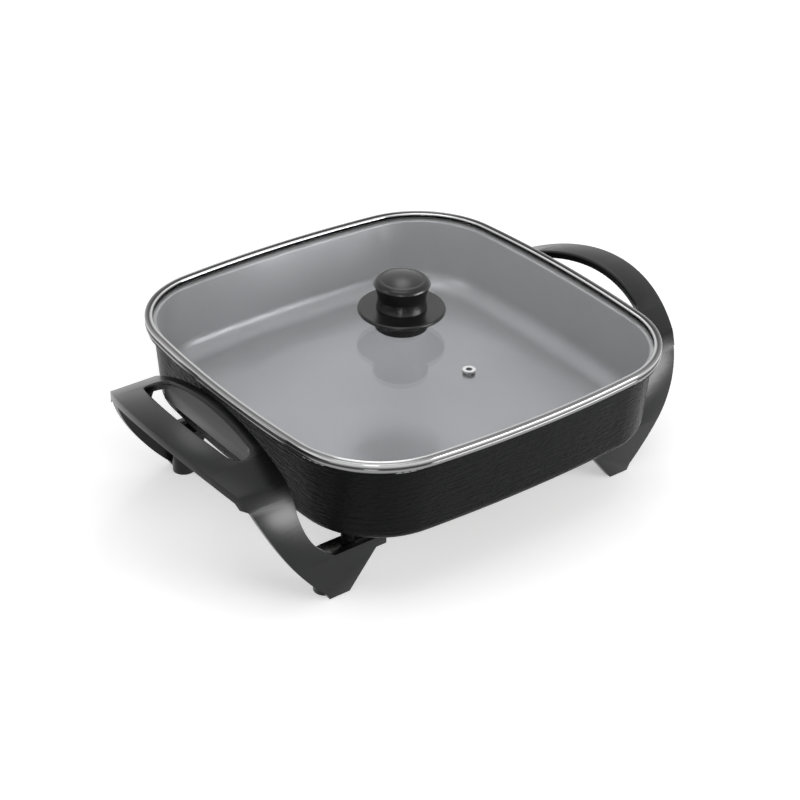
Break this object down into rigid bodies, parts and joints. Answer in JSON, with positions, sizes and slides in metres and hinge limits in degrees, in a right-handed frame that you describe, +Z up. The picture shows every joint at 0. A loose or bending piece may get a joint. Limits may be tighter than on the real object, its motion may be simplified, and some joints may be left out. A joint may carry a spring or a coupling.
{
  "type": "electric skillet",
  "caption": "Square countertop electric skillet: cast pan with heating element below, moulded side handles that bend down into legs, and a lift-off flat glass lid with a knob.",
  "frame": {"origin": "on the table, below the middle of the pan", "axes": "+Z up, +X to the right-hand handle with the heating socket, -Y to the cook's side"},
  "size_m": [0.4218, 0.312, 0.1604],
  "materials": {
    "cast_pan": "black textured coating outside, grey non-stick coating inside",
    "element_sheath": "dull heat-stained sheath",
    "bright_steel": "satin",
    "screw_steel": "zinc plated",
    "polished_steel": "polished",
    "ceramic": "white ceramic",
    "moulded_black": "satin heat-resistant moulding",
    "foot_rubber": "matte",
    "silicone": "translucent grey silicone",
    "clear_glass": "clear tempered"
  },
  "bodies": {
    "base": {"pan_body": "cast_pan", "heating_element": "element_sheath", "probe_tube": "bright_steel", "front_ceramic_bead": "ceramic", "rear_ceramic_bead": "ceramic", "front_terminal_pin": "bright_steel", "rear_terminal_pin": "bright_steel", "socket_shroud": "moulded_black", "shroud_screws": "screw_steel", "right_handle": "moulded_black", "left_handle": "moulded_black", "front_right_foot": "foot_rubber", "rear_right_foot": "foot_rubber", "rear_left_foot": "foot_rubber", "front_left_foot": "foot_rubber", "handle_screws": "screw_steel", "handle_washers": "screw_steel"},
    "lid": {"lid_band": "polished_steel", "lid_glass": "clear_glass", "upper_seal": "silicone", "lower_seal": "silicone", "knob_washer": "bright_steel", "finger_guard": "moulded_black", "lid_knob": "moulded_black", "knob_screw": "screw_steel", "steam_vent": "bright_steel", "vent_ring": "bright_steel"}
  },
  "joints": [
    {"name": "lid_lift", "type": "slide", "parent": "base", "child": "lid", "axis": [0, 0, 1], "range_m": [0, 0.2]}
  ]
}
